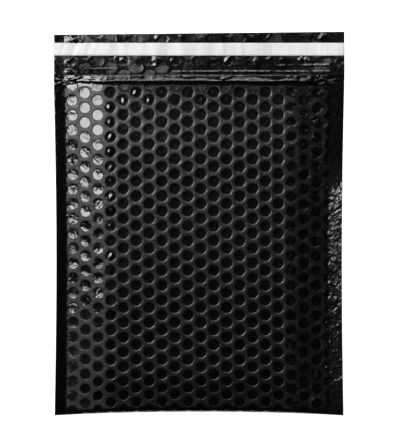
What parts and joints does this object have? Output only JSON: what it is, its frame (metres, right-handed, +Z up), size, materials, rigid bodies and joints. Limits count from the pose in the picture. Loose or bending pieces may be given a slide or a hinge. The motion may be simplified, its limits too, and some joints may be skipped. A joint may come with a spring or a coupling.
{
  "type": "padded envelope",
  "caption": "A black film padded envelope lined with bubble film, open at the mouth, with a plain white release liner across its flap.",
  "frame": {"origin": "on the floor under the middle of the envelope's box, as it lies on its back", "axes": "+Y to the flap, along the longest side; +X to the right with the flap away from the viewer; +Z up, out of the front"},
  "size_m": [0.2382, 0.3144, 0.012],
  "materials": {
    "black_film": "glossy black polyethylene film with a slight haze",
    "bubble_film": "glossy black bubble film",
    "adhesive": "clear yellowish hot-melt adhesive",
    "liner_film": "satin white release film"
  },
  "bodies": {
    "root": {"outer_film": "black_film", "bubble_lining": "bubble_film", "adhesive_strip": "adhesive", "release_liner": "liner_film"}
  },
  "joints": []
}
